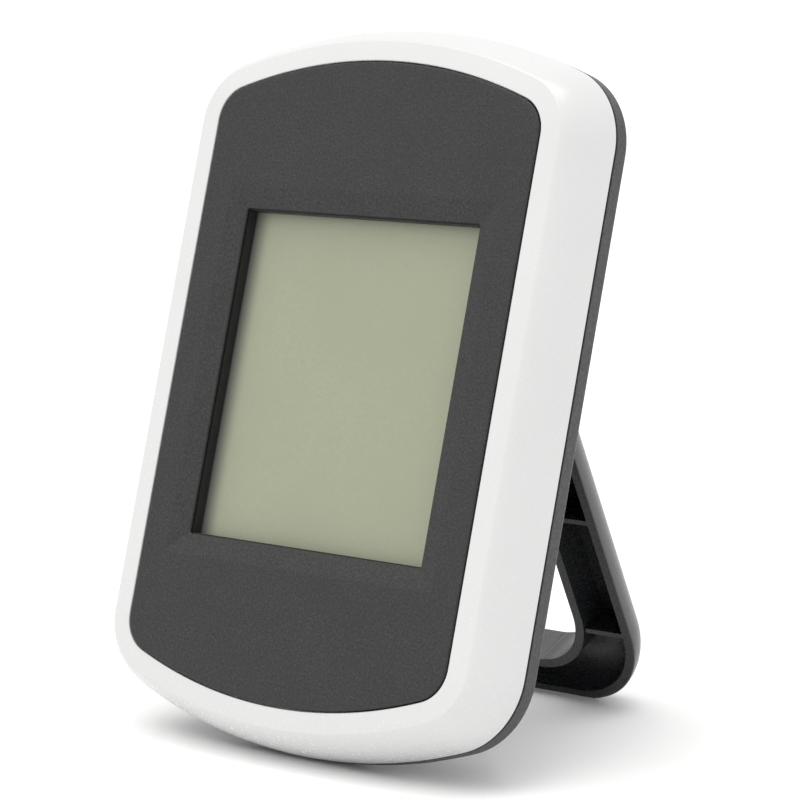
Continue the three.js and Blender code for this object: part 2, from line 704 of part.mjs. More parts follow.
// ---- Screws and small parts ----
function screw(headRadius, headThick, shankRadius, length) {
  const body = turned([
    [0, -headThick],
    [headRadius - 0.3, -headThick],
    [headRadius, -headThick * 0.5],
    [headRadius, 0],
    [shankRadius, 0],
    [shankRadius, length - shankRadius],
    [0, length],
  ], 14);
  const arm = headRadius * 0.6;
  const width = headRadius * 0.14;
  const depth = headThick * 0.5;
  const cross = box(-arm, arm, -width, width, -headThick - 1, -headThick + depth)
    .add(box(-width, width, -arm, arm, -headThick - 1, -headThick + depth));
  return body.subtract(cross);
}

function wire(points, radius = 0.55) {
  return tube(new THREE.CatmullRomCurve3(points.map((point) => new THREE.Vector3(...point))), radius, 10, 6);
}

// ---- Assembly ----
function addDisplay() {
  place("fascia_panel", fasciaPanel(), FASCIA_GREY);
  place("lcd_holder", lcdHolder(), HOLDER_BLACK);
  place("lcd_front_polariser", film(POLARISER_Z), LCD_GREEN);
  place("lcd_glass", block(GLASS_HALF_X, GLASS_HALF_Y, GLASS_BACK, GLASS_FRONT), LCD_GLASS);
  place("lcd_reflector", film(GLASS_BACK - GAP), REFLECTOR);
  place("zebra_strip", box(-21, 21, 25.4, 26.9, BOARD_FRONT + GAP, GLASS_BACK - GAP), ELASTOMER);
}

const PARTS_FRONT = BOARD_BACK - GAP; // the board's parts stand on its back
const CHIP_LENGTH = 3.2;
const CHIP_WIDTH = 1.6;
const CHIP_THICK = 1.1;
const CRYSTAL_RADIUS = 1;
const CRYSTAL_LENGTH = 6;

function chip() {
  return block(CHIP_LENGTH / 2, CHIP_WIDTH / 2, PARTS_FRONT - CHIP_THICK, PARTS_FRONT);
}

function thermistor() {
  const bead = turned([[0, -1.2], [0.8, -0.8], [1.1, 0], [0.8, 0.8], [0, 1.2]], 14);
  const leads = [-0.5, 0.5].map((x) => box(x - 0.18, x + 0.18, -0.18, 0.18, 0, 5));
  return joined([bead, ...leads]);
}

function addBoard() {
  place("circuit_board", circuitBoard(), BOARD_GREEN);
  place("chip_resin", resinBlob(), RESIN, caseGroup, [0, 17, PARTS_FRONT]);
  const can = post([0, 0], CRYSTAL_RADIUS, -CRYSTAL_LENGTH / 2, CRYSTAL_LENGTH / 2);
  const lying = place("crystal", can, METAL, caseGroup, [10.5, 18, PARTS_FRONT - CRYSTAL_RADIUS]);
  lying.rotation.x = Math.PI / 2;
  place("capacitor_1", chip(), CERAMIC, caseGroup, [-12, 19, 0]);
  place("capacitor_2", chip(), CERAMIC, caseGroup, [-12, 15.5, 0]);
  place("resistor_1", chip(), RESIN, caseGroup, [18, 12, 0]);
  place("resistor_2", chip(), RESIN, caseGroup, [18, 15.5, 0]);
  place("thermistor", thermistor(), RESIN, caseGroup, [7.5, 31.5, -13.8]);
}

function addButtons() {
  BUTTON_PLACES.forEach(([x, y], i) => {
    const at = [x, y, 0];
    const plunger = post([0, 0], PLUNGER_RADIUS, PLUNGER_BACK, PLUNGER_FRONT);
    place(`switch_body_${i + 1}`, switchBody(), SWITCH_BLACK, caseGroup, at);
    place(`switch_plunger_${i + 1}`, plunger, BUTTON_GREY, caseGroup, at);
    place(`button_${i + 1}`, button(), BUTTON_GREY, caseGroup, at);
  });
}

// A piece of the battery set, turned so that its own z axis runs along the cell.
function placeAlongCell(name, shape, look, y) {
  place(name, shape, look, caseGroup, [0, y, CELL_Z]).rotation.x = -Math.PI / 2;
}

const WIRE_POSITIVE_ROUTE = [[0, 6.2, -9.7], [0, 7.6, -9.7], [0.6, 9.6, -9.6], [1.6, 11.4, -9.4]];
const WIRE_NEGATIVE_ROUTE = [
  [0, -45.1, -9.7], [0, -46.8, -9.7], [4, -48.2, -9.7], [9, -45, -10], [10.4, -37, -9.8], [11, -29, -9.4],
];

function addBattery() {
  placeAlongCell("battery_cell", cell(), CELL_SKIN, CELL_Y);
  placeAlongCell("contact_positive", positiveContact(), BRASS, BAY_HIGH - 0.8);
  placeAlongCell("contact_negative_spring", springContact(), METAL, BAY_LOW + 0.9);
  place("battery_door", doorPlate(), COVER_GREY);
  place("wire_positive", wire(WIRE_POSITIVE_ROUTE), RED_WIRE);
  place("wire_negative", wire(WIRE_NEGATIVE_ROUTE), BLACK_WIRE);
}

function addScrews() {
  SCREW_PLACES.forEach((at, i) => {
    place(`case_screw_${i + 1}`, screw(2.4, 1.3, 1.1, 6.2), METAL, caseGroup, [...at, HEAD_SEAT - GAP]);
  });
  BOARD_SCREW_PLACES.forEach((at, i) => {
    place(`board_screw_${i + 1}`, screw(1.8, 0.9, 0.8, 4), METAL, caseGroup, [...at, PARTS_FRONT]);
  });
}

place("front_case", frontCase(), WHITE);
addDisplay();
addBoard();
addButtons();
addBattery();
place("rear_cover", rearCover(), COVER_GREY);
const openStand = place("stand", stand(), STAND_BLACK, caseGroup, [0, HINGE_Y, HINGE_Z]);
openStand.rotation.x = STAND_OPEN;
addScrews();

caseGroup.rotation.x = Math.PI / 2 - LEAN;
caseGroup.updateMatrixWorld(true);
const reach = new THREE.Box3().setFromObject(caseGroup, true);
caseGroup.position.set(0, -(reach.min.y + reach.max.y) / 2, -reach.min.z);

const thermometer = new THREE.Group();
thermometer.name = "thermometer";
thermometer.add(caseGroup);
export default thermometer;
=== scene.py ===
"""Looks of the maximum minimum thermometer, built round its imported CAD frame.

Shapes are drawn in millimetres in the case's own frame: x to the viewer's right, y up along the face,
z out of the face, origin at the middle of the face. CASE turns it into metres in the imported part's frame.
"""

import json
import math

import bmesh
import bpy
from mathutils import Matrix, Vector


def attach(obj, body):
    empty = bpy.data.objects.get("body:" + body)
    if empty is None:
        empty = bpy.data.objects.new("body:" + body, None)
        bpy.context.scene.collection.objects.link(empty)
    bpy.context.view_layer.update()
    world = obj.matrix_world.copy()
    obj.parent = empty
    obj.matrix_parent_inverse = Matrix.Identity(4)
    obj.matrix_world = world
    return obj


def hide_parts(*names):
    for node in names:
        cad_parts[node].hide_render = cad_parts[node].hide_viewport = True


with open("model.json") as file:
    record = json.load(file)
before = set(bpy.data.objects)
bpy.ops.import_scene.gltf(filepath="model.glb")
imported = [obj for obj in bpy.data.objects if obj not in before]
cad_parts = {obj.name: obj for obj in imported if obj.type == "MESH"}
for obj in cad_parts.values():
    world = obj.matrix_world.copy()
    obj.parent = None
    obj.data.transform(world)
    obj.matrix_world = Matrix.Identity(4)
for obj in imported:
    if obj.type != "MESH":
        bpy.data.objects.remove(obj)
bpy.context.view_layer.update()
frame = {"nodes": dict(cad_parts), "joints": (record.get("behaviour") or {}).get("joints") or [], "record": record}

MM = 0.001
RIGHT = Vector((1, 0, 0))

# ---- The case's frame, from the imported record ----
JOINTS = {joint["name"]: joint for joint in frame["joints"]}
FACE_NORMAL = -Vector(JOINTS["battery_door_lift"]["axis"]).normalized()
FACE_UP = FACE_NORMAL.cross(RIGHT)
FACE_AXES = Matrix((RIGHT, FACE_UP, FACE_NORMAL))


def span(node, origin=Vector((0, 0, 0))):
    """Lowest and highest corner of a CAD node along the case's axes, in millimetres."""
    points = [FACE_AXES @ (vertex.co - origin) / MM for vertex in frame["nodes"][node].data.vertices]
    low = Vector([min(point[axis] for point in points) for axis in range(3)])
    high = Vector([max(point[axis] for point in points) for axis in range(3)])
    return low, high


fascia_low, fascia_high = span("fascia_panel")
face_centre = (fascia_low + fascia_high) / 2
ORIGIN = FACE_AXES.transposed() @ Vector((face_centre.x, face_centre.y, fascia_high.z)) * MM
CASE = Matrix.Translation(ORIGIN) @ (FACE_AXES.transposed() * MM).to_4x4()
STAND_OPEN = -math.radians(JOINTS["stand_hinge"]["range_deg"][0])
HINGE = CASE.inverted() @ Vector(JOINTS["stand_hinge"]["pos_m"])
STAND = CASE @ Matrix.Translation(HINGE) @ Matrix.Rotation(STAND_OPEN, 4, "X")

# ---- Driving dimensions, in millimetres ----
FACE_WIDTH = fascia_high.x - fascia_low.x
FACE_HEIGHT = fascia_high.y - fascia_low.y
FASCIA_THICK = fascia_high.z - fascia_low.z
FACE_ARC = 75.6  # radius of the curved top and bottom
FACE_CORNER = 5.1
END_SHARE = 0.943  # how much of a grown outline's offset its curved ends take
FACE_GAP = 0.2
GAP = 0.3
SEAM_GAP = 0.42
SKIN = 0.015  # the finer outer curves stay this far inside the solids
RIM = span("front_case", ORIGIN)[1].x - FACE_WIDTH / 2
SEAM_Z = -8.8
EDGE_Z = -11.5
BACK_Z = -20
BACK_INSET = 8.5
WALL = 1.8
FRAME_TOP = -0.15
LIP_OFFSET = 3.2
LIP_DROP = 0.3
CROWN_RUN = 0.9
CROWN_FALL = 0.65
SIDE_DRAFT = 0.3  # how far the frame's side draws in towards the face
CAVITY_OFFSET = 4.8
CAVITY_TOP_OFFSET = 3.6
TONGUE_OUTER = 4.5
TONGUE_INNER = 3.3
WINDOW = (42.6 / 2, 47.8 / 2)
WINDOW_BEVEL = 3.2
WINDOW_CORNER = 0.35
BEVEL_CORNER = 0.4
BEVEL_DEPTH = 0.9
FLOOR_FRONT = -1.6
FLOOR_BACK = -3.1
DISPLAY = (24.9, 28.7)
DISPLAY_CORNER = 0.4

STAND_LENGTH = 71.5
STAND_HALF_WIDTH = 22.2
STAND_THICK = 7
FOOT_CORNER = 13.6
FOOT_BAR = 6.5
HOLE_HALF_WIDTH = 12.4
HOLE_CORNER = 9.6
HINGE_BAR = 7
PIN_RADIUS = 1.6
PIN_LENGTH = 1.8
STOP_REACH = 4.2
RIM_WALL = 1.5
CHANNEL_FLOOR = RIM_WALL - STAND_THICK / 2
RIB_HEIGHTS = (13.4, 33.9, 54.4)
RIB_THICK = 0.8
RIB_DROP = 0.3

RECESS_FLOOR = HINGE.z + STAND_THICK / 2 + GAP
RECESS_CLEARANCE = 0.6
FOOT_Y = HINGE.y - STAND_LENGTH
HUB_LOW = FOOT_Y + FOOT_BAR + 0.5
HUB_HIGH = HINGE.y - 8.3
HUB_HALF_WIDTH = HOLE_HALF_WIDTH - 0.5
RECESS_WALL = 1.5
BAY = (5.9, -44.6, 5.8)
BAY_WALL = 1.2
BAY_FRONT = -7.8
TUB_FLOOR = 0.9
HUB_POCKET = (8.6, -38, 2)
POCKET_FLOOR = 1.4
DOOR = (7.9, -45, 6.8)
DOOR_THICK = 1.1
DOOR_CORNER = 3
RIDGE_HEIGHTS = (-41, -39.4, -37.8)
RIDGE_PROUD = 0.3

WELL_RADIUS = 4
WELL_TOP = -9.2
HEAD_HOLE = 2.7
HEAD_SEAT = -10.8
SHANK_HOLE = 1.4
SHANK_HOLE_TOP = -8
BUTTON_HOLE = 3.5

SCREW_SEAT = -11.1
HEAD_RADIUS = 2.4
HEAD_HEIGHT = 1.3
SHANK_RADIUS = 1.1
SHANK_LENGTH = 5.1
POINT_LENGTH = 1.1
CROSS = (1.35, 0.3)
CROSS_DEPTH = (-1.6, -1.25, -0.3)  # from the seat: above the head, at its rim, at the bottom
CROSS_TAPER = 0.6

BUTTON_RADIUS = 3.2
BUTTON_PROUD = 1
DISH_SHARE = 0.78
DISH_DEPTH = 0.28
FLANGE_RADIUS = 4.1
FLANGE_THICK = 0.8
STEM_RADIUS = 1.5
STEM_TOP = -12.7

SCREW_PLACES = ((-21, 36.5), (21, 36.5), (-17.3, -37), (17.3, -37))
BUTTON_PLACES = ((-15, 29), (0, 29), (15, 29))
VENT_PLACES = (-4.8, -2.4, 0, 2.4, 4.8)

# ---- How finely the shapes are cut ----
SIDE_STEPS = 110
ARC_STEPS = 28
SMALL_ARC_STEPS = 8
FILLET_STEPS = 4
CROWN_STEPS = 18
ROUND_STEPS = 18
TURN_STEPS = 64
SOFT_STEPS = 2
SOFT_ANGLE = math.radians(35)
SHARP_ANGLE = math.radians(40)


# ---- Outlines ----
def arc(x, y, radius, start, end, steps=ARC_STEPS):
    """Points on a circle from one angle to another, both ends included."""
    angles = [start + (end - start) * step / steps for step in range(steps + 1)]
    return [Vector((x + radius * math.cos(a), y + radius * math.sin(a))) for a in angles]


def slab(half_width, y_low, y_high, low_corner, high_corner, steps=ARC_STEPS, side_steps=1):
    """A loop with one corner radius below and another above, counterclockwise from the right side's top."""
    low_x = half_width - low_corner
    high_x = half_width - high_corner
    quarter = math.pi / 2
    corners = [
        arc(high_x, y_high - high_corner, high_corner, 0, quarter, steps),
        arc(-high_x, y_high - high_corner, high_corner, quarter, 2 * quarter, steps),
        arc(-low_x, y_low + low_corner, low_corner, 2 * quarter, 3 * quarter, steps),
        arc(low_x, y_low + low_corner, low_corner, 3 * quarter, 4 * quarter, steps),
    ]
    points = []
    for corner, following in zip(corners, corners[1:] + corners[:1]):
        points.extend(corner)
        for step in range(1, side_steps):
            points.append(corner[-1].lerp(following[0], step / side_steps))
    return points


def window_loop(grow, corner):
    """The window's rectangle grown all round, with as many points as every outline of the case has."""
    return slab(WINDOW[0] + grow, -WINDOW[1] - grow, WINDOW[1] + grow, corner, corner, 3, SIDE_STEPS)


DIRECTIONS = [point.normalized() for point in window_loop(WINDOW_BEVEL, BEVEL_CORNER)]


def reach(direction, offset):
    """How far the case's outline is from its centre: straight side, round corner or curved end."""
    across, along = abs(direction.x), abs(direction.y)
    half_width = FACE_WIDTH / 2 + offset
    end_arc = FACE_ARC + offset
    corner = FACE_CORNER + offset
    arc_y = FACE_HEIGHT / 2 + offset * END_SHARE - end_arc
    corner_x = half_width - corner
    corner_y = arc_y + math.sqrt((end_arc - corner) ** 2 - corner_x**2)
    side = half_width / max(across, 1e-9)
    if side * along <= corner_y:
        return side
    end = along * arc_y + math.sqrt(end_arc**2 - (across * arc_y) ** 2)
    if end * across <= end_arc * corner_x / (end_arc - corner):
        return end
    ahead = across * corner_x + along * corner_y
    aside = corner_x**2 + corner_y**2 - ahead**2
    return ahead + math.sqrt(corner**2 - aside)


def outline(offset):
    """The case's outline, grown from the fascia's edge."""
    return [direction * reach(direction, offset) for direction in DIRECTIONS]


def rounded(profile):
    """A profile of (a, b, radius) corners as (a, b) points, with a fillet where the radius isn't 0."""
    points = []
    for index, (a, b, radius) in enumerate(profile):
        here = Vector((a, b))
        if radius == 0:
            points.append(here)
            continue
        before = Vector(profile[index - 1][:2]) - here
        after = Vector(profile[(index + 1) % len(profile)][:2]) - here
        half = before.angle(after) / 2
        longest = 0.49 * min(before.length, after.length)
        cut = min(radius / math.tan(half), longest)
        start = here + before.normalized() * cut
        end = here + after.normalized() * cut
        for step in range(FILLET_STEPS + 1):
            t = step / FILLET_STEPS
            points.append(start * (1 - t) ** 2 + here * 2 * t * (1 - t) + end * t**2)
    return points


# ---- Meshes ----
def mesh_object(name, build):
    """A new object whose mesh the given function fills."""
    mesh = bpy.data.meshes.new(name)
    work = bmesh.new()
    build(work)
    bmesh.ops.recalc_face_normals(work, faces=work.faces)
    work.to_mesh(mesh)
    work.free()
    made = bpy.data.objects.new(name, mesh)
    bpy.context.scene.collection.objects.link(made)
    return made


def lofted(name, rings, closed=False):
    """A solid through rings of points with the same count: capped at both ends, or closed on itself."""

    def build(work):
        loops = [[work.verts.new(point) for point in ring] for ring in rings]
        pairs = list(zip(loops, loops[1:]))
        if closed:
            pairs.append((loops[-1], loops[0]))
        for low, high in pairs:
            for index in range(len(low)):
                after = (index + 1) % len(low)
                work.faces.new((low[index], low[after], high[after], high[index]))
        if not closed:
            work.faces.new(loops[0][::-1])
            work.faces.new(loops[-1])

    return mesh_object(name, build)


def stacked(name, sections, closed=False):
    """A solid through flat loops, given as (points, z)."""
    rings = [[(point.x, point.y, z) for point in points] for points, z in sections]
    return lofted(name, rings, closed)


def case_loft(name, profile):
    """A solid that follows the case's outline, from (offset, z) points."""
    return stacked(name, [(outline(offset), z) for offset, z in profile])


def plate(points, z_low, z_high, name="plate"):
    return stacked(name, [(points, z_low), (points, z_high)])


def block(x_low, x_high, y_low, y_high, z_low, z_high):
    """A box-shaped cutter or bar between six planes."""
    corners = [Vector(at) for at in ((x_low, y_low), (x_high, y_low), (x_high, y_high), (x_low, y_high))]
    return plate(corners, z_low, z_high, "block")


def turned(name, profile, place=(0, 0), steps=TURN_STEPS):
    """A round body about its own z axis, from (radius, z) points; the ends of the profile lie on the axis."""
    circle = [Vector((math.cos(a), math.sin(a))) for a in (2 * math.pi * i / steps for i in range(steps))]
    centre = Vector(place)

    def build(work):
        ends = [work.verts.new((*centre, z)) for _, z in (profile[0], profile[-1])]
        loops = []
        for radius, z in profile[1:-1]:
            loops.append([work.verts.new((*(centre + point * radius), z)) for point in circle])
        for low, high in zip(loops, loops[1:]):
            for index in range(steps):
                after = (index + 1) % steps
                work.faces.new((low[index], low[after], high[after], high[index]))
        for index in range(steps):
            after = (index + 1) % steps
            work.faces.new((ends[0], loops[0][after], loops[0][index]))
            work.faces.new((ends[1], loops[-1][index], loops[-1][after]))

    return mesh_object(name, build)


def post(place, radius, z_low, z_high):
    """A plain round post or hole cutter."""
    return turned("post", [(0, z_low), (radius, z_low), (radius, z_high), (0, z_high)], place)


def rod(radius, half_length):
    """A round bar along x through the origin."""
    bar = post((0, 0), radius, -half_length, half_length)
    bar.data.transform(Matrix.Rotation(math.pi / 2, 4, "Y"))
    return bar


def moved(shape, matrix):
    shape.data.transform(matrix)
    return shape


def bake(shape):
    """Replaces the object's mesh by what its modifiers make of it."""
    graph = bpy.context.evaluated_depsgraph_get()
    made = bpy.data.meshes.new_from_object(shape.evaluated_get(graph))
    shape.modifiers.clear()
    shape.data = made
    return shape


def combine(body, others, operation):
    """Adds the other solids to the body, cuts them from it, or keeps what they share."""
    for other in others:
        modifier = body.modifiers.new(operation.lower(), "BOOLEAN")
        modifier.operation = operation
        modifier.solver = "MANIFOLD"
        modifier.object = other
    bake(body)
    for other in others:
        bpy.data.objects.remove(other)
    return body


def soften(shape, width):
    """Rounds the solid's hard edges."""
    bevel = shape.modifiers.new("soften", "BEVEL")
    bevel.width = width
    bevel.segments = SOFT_STEPS
    bevel.limit_method = "ANGLE"
    bevel.angle_limit = SOFT_ANGLE
    bevel.miter_outer = "MITER_ARC"
    return bake(shape)


def finish_piece(shape, name, node, look, matrix=CASE):
    """Puts a piece in the part's frame, on its node's body, in its node's place and finish."""
    shape.name = name
    shape.data.name = name
    shape.data.transform(matrix)
    shape.data.shade_smooth()
    shape.data.set_sharp_from_angle(angle=SHARP_ANGLE)
    normals = shape.modifiers.new("even_shading", "WEIGHTED_NORMAL")
    normals.keep_sharp = True
    normals.weight = 80
    shape.data.materials.clear()
    shape.data.materials.append(look)
    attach(shape, BODY_OF[node])
    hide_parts(node)
    return shape


record = frame["record"]
SLOT_OF = {part["node"]: part["material_slot"] for part in record["subparts"]}
BODY_OF = {node: body for body, nodes in record["behaviour"]["bodies"].items() for node in nodes}
SLOTS = {entry["slot"]: entry for entry in record["materials"]}


# ---- Materials ----
class Look:
    """A node material on a Principled shader, with coordinates in millimetres in the case's frame."""

    def __init__(self, slot, roughness, metallic=0.0):
        self.material = bpy.data.materials.new(slot)
        self.material.use_nodes = True
        self.nodes = self.material.node_tree.nodes
        self.links = self.material.node_tree.links
        self.shader = self.nodes["Principled BSDF"]
        self.colour = tuple(SLOTS[slot]["base_color"][:3])
        self.set("Base Color", (*self.colour, 1))
        self.set("Roughness", roughness)
        self.set("Metallic", metallic)
        turn = CASE.inverted()
        mapping = self.node("ShaderNodeMapping")
        mapping.inputs["Location"].default_value = turn.translation
        mapping.inputs["Rotation"].default_value = turn.to_euler()
        mapping.inputs["Scale"].default_value = turn.to_scale()
        coordinates = self.node("ShaderNodeTexCoord")
        self.link(coordinates.outputs["Object"], mapping.inputs["Vector"])
        self.place = mapping.outputs["Vector"]

    def set(self, socket, value):
        self.shader.inputs[socket].default_value = value

    def node(self, kind, **settings):
        made = self.nodes.new(kind)
        for name, value in settings.items():
            setattr(made, name, value)
        return made

    def link(self, output, socket):
        self.links.new(output, socket)

    def noise(self, size, detail=2.0, roughness=0.5):
        """Soft noise whose blobs are about this many millimetres wide."""
        made = self.node("ShaderNodeTexNoise")
        made.inputs["Scale"].default_value = 1 / size
        made.inputs["Detail"].default_value = detail
        made.inputs["Roughness"].default_value = roughness
        self.link(self.place, made.inputs["Vector"])
        return made.outputs["Fac"]

    def cells(self, size):
        """Distance to the middle of the nearest grain; grains are about this many millimetres wide."""
        made = self.node("ShaderNodeTexVoronoi", feature="F1")
        made.inputs["Scale"].default_value = 1 / size
        self.link(self.place, made.inputs["Vector"])
        return made.outputs["Distance"]

    def remap(self, value, low, high, out_low, out_high):
        made = self.node("ShaderNodeMapRange")
        self.link(value, made.inputs["Value"])
        for name, number in zip(("From Min", "From Max", "To Min", "To Max"), (low, high, out_low, out_high)):
            made.inputs[name].default_value = number
        return made.outputs["Result"]

    def ramp(self, value, low, high):
        """Rises softly from 0 at the low value to 1 at the high one."""
        made = self.node("ShaderNodeMapRange", interpolation_type="SMOOTHSTEP")
        self.link(value, made.inputs["Value"])
        made.inputs["From Min"].default_value = low
        made.inputs["From Max"].default_value = high
        return made.outputs["Result"]

    def mix(self, share, first, second):
        """Mixes two colours, each given as a tuple or as another node's output."""
        made = self.node("ShaderNodeMix", data_type="RGBA")
        self.link(share, made.inputs["Factor"])
        for socket, colour in ((made.inputs[6], first), (made.inputs[7], second)):
            if isinstance(colour, tuple):
                socket.default_value = (*colour[:3], 1)
            else:
                self.link(colour, socket)
        return made.outputs[2]

    def shade(self, factor):
        return tuple(channel * factor for channel in self.colour)

    def paint(self, colour):
        self.link(colour, self.shader.inputs["Base Color"])

    def gloss(self, value):
        self.link(value, self.shader.inputs["Roughness"])

    def bump(self, height, distance, strength):
        """Raises the surface by the height's range, in millimetres."""
        made = self.node("ShaderNodeBump")
        made.inputs["Strength"].default_value = strength
        made.inputs["Distance"].default_value = distance * MM
        self.link(height, made.inputs["Height"])
        self.link(made.outputs["Normal"], self.shader.inputs["Normal"])

    def axis(self, name):
        """One coordinate, X, Y or Z, of the place on the case, in millimetres."""
        made = self.node("ShaderNodeSeparateXYZ")
        self.link(self.place, made.inputs["Vector"])
        return made.outputs[name]

    def math(self, operation, *values):
        made = self.node("ShaderNodeMath", operation=operation)
        for socket, value in zip(made.inputs, values):
            if isinstance(value, (int, float)):
                socket.default_value = value
            else:
                self.link(value, socket)
        return made.outputs["Value"]


def white_plastic(slot):
    """Polished ABS: faint flow mottling, hardly visible ripples and a thin gloss over them."""
    look = Look(slot, 0.26)
    tone = look.remap(look.noise(14, 2), 0.3, 0.7, 0, 1)
    look.paint(look.mix(tone, look.shade(0.775), look.shade(0.79)))
    look.gloss(look.remap(look.noise(0.6, 2), 0.3, 0.7, 0.24, 0.28))
    look.set("Coat Weight", 0.1)
    look.set("Coat Roughness", 0.2)
    look.bump(look.noise(6, 1), 0.004, 0.5)
    return look.material


def textured_plastic(slot, roughness, grain, sparkle=0.0, lift=1.0, shine=0.5):
    """Spark-eroded matte plastic: fine pits, tone that drifts, and tiny lighter grains."""
    look = Look(slot, roughness)
    look.set("Specular IOR Level", shine)
    drift = look.remap(look.noise(9, 3), 0.3, 0.7, 0, 1)
    colour = look.mix(drift, look.shade(0.9 * lift), look.shade(1.1 * lift))
    pits = look.noise(grain, 3, 0.6)
    colour = look.mix(look.remap(pits, 0.35, 0.65, 0, 1), look.shade(0.6 * lift), colour)
    if sparkle:
        bright = look.remap(look.cells(grain * 1.6), 0.1, 0.4, sparkle, 0)
        colour = look.mix(bright, colour, look.shade(2 * lift))
    look.paint(colour)
    look.gloss(look.remap(pits, 0.3, 0.7, roughness + 0.08, roughness - 0.08))
    look.bump(pits, 0.02, 0.6)
    return look.material


def fascia_plastic(slot):
    return textured_plastic(slot, 0.6, 0.32, sparkle=0.3, lift=0.68, shine=0.34)


def cover_plastic(slot):
    return textured_plastic(slot, 0.45, 0.35, sparkle=0.1, lift=0.82, shine=0.36)


def stand_plastic(slot):
    return textured_plastic(slot, 0.3, 0.3, sparkle=0.03, lift=0.74, shine=0.72)


def dark_plastic(slot):
    return textured_plastic(slot, 0.5, 0.25, lift=0.9)


def button_plastic(slot):
    return textured_plastic(slot, 0.5, 0.2, sparkle=0.1)


# Where the window's frame stops shading the display, from its left and top edges, in millimetres.
LEFT_SHADE = (-0.4, 3.4)
TOP_SHADE = (-2.6, 1.5)
SHADE_COLOUR = (0.1, 0.104, 0.1)


def lcd_film(slot):
    """A blank display: grey-green film, with the window's frame shading its left and top edges."""
    look = Look(slot, 0.3)
    left = look.ramp(look.math("ADD", look.axis("X"), WINDOW[0]), *LEFT_SHADE)
    top = look.ramp(look.math("SUBTRACT", WINDOW[1], look.axis("Y")), *TOP_SHADE)
    lit = look.math("MULTIPLY", left, top)
    speckle = look.remap(look.noise(0.5, 4), 0.3, 0.7, 0, 1)
    cloud = look.remap(look.noise(18, 2), 0.35, 0.65, 0, 1)
    green = look.mix(cloud, look.shade(0.9), look.shade(0.95))
    green = look.mix(speckle, green, look.shade(0.88))
    look.paint(look.mix(lit, SHADE_COLOUR, green))
    look.gloss(look.remap(look.noise(1.2, 3), 0.3, 0.7, 0.28, 0.36))
    look.bump(look.noise(0.4, 2), 0.004, 0.4)
    return look.material


def clear_glass(slot):
    """Display glass with its faint green body colour and polishing haze."""
    look = Look(slot, 0.06)
    look.paint(look.mix(look.remap(look.noise(8, 2), 0.3, 0.7, 0, 1), look.shade(0.95), look.shade(1.05)))
    look.set("Transmission Weight", 0.6)
    look.gloss(look.remap(look.noise(2, 3), 0.3, 0.7, 0.04, 0.12))
    return look.material


def speckled(slot, roughness, grain, spread=0.25):
    """Any dull moulded, fired or printed material: two tones in fine grain."""
    look = Look(slot, roughness)
    pits = look.noise(grain, 4, 0.6)
    look.paint(look.mix(look.remap(pits, 0.3, 0.7, 0, 1), look.shade(1 - spread), look.shade(1 + spread)))
    look.gloss(look.remap(pits, 0.3, 0.7, roughness + 0.1, roughness - 0.1))
    look.bump(pits, 0.02, 0.5)
    return look.material


def reflector(slot):
    return speckled(slot, 0.4, 0.3, 0.08)


def elastomer(slot):
    """Rubber strip with its conducting layers across it."""
    look = Look(slot, 0.7)
    stripes = look.node("ShaderNodeTexWave", bands_direction="X")
    stripes.inputs["Scale"].default_value = 2.5
    look.link(look.place, stripes.inputs["Vector"])
    look.paint(look.mix(stripes.outputs["Fac"], look.shade(0.4), look.shade(1.2)))
    look.bump(look.noise(0.3, 3), 0.02, 0.5)
    return look.material


def board(slot):
    """Solder mask over etched copper: square patches of trace show through as a lighter green."""
    look = Look(slot, 0.35)
    traces = look.node("ShaderNodeTexBrick", offset=0.5)
    traces.inputs["Scale"].default_value = 0.28
    traces.inputs["Mortar Size"].default_value = 0.06
    look.link(look.place, traces.inputs["Vector"])
    weave = look.remap(look.noise(0.5, 3), 0.3, 0.7, 0, 1)
    base = look.mix(weave, look.shade(0.85), look.shade(1.1))
    look.paint(look.mix(traces.outputs["Fac"], base, look.shade(1.9)))
    look.bump(traces.outputs["Fac"], 0.04, 0.6)
    return look.material


def resin(slot):
    return speckled(slot, 0.28, 0.8, 0.2)


def metal(slot, roughness, scratch):
    """Plated metal with fine rolled scratches."""
    look = Look(slot, roughness, metallic=1.0)
    lines = look.node("ShaderNodeTexNoise")
    lines.inputs["Scale"].default_value = 1.0
    lines.inputs["Detail"].default_value = 4
    stretch = look.node("ShaderNodeMapping")
    stretch.inputs["Scale"].default_value = (1 / scratch, 0.25, 0.25)
    look.link(look.place, stretch.inputs["Vector"])
    look.link(stretch.outputs["Vector"], lines.inputs["Vector"])
    streak = lines.outputs["Fac"]
    look.paint(look.mix(look.remap(streak, 0.3, 0.7, 0, 1), look.shade(0.8), look.shade(1.15)))
    look.gloss(look.remap(streak, 0.3, 0.7, roughness - 0.08, roughness + 0.12))
    look.bump(streak, 0.01, 0.4)
    return look.material


def steel(slot):
    return metal(slot, 0.32, 0.15)


def contact_metal(slot):
    return metal(slot, 0.28, 0.2)


def component(slot):
    return speckled(slot, 0.45, 0.3, 0.2)


def cell_sleeve(slot):
    """Shrink sleeve: a coloured body with one pale band round it, and soft wrinkles."""
    look = Look(slot, 0.3)
    height = look.axis("Y")
    band = look.math("COMPARE", height, 0.5, 2.2)
    tone = look.remap(look.noise(4, 3), 0.3, 0.7, 0, 1)
    body = look.mix(tone, look.shade(0.85), look.shade(1.15))
    look.paint(look.mix(band, body, (0.55, 0.57, 0.6)))
    look.bump(look.noise(2.5, 2), 0.03, 0.4)
    return look.material


def wire_skin(slot):
    return speckled(slot, 0.4, 0.6, 0.15)


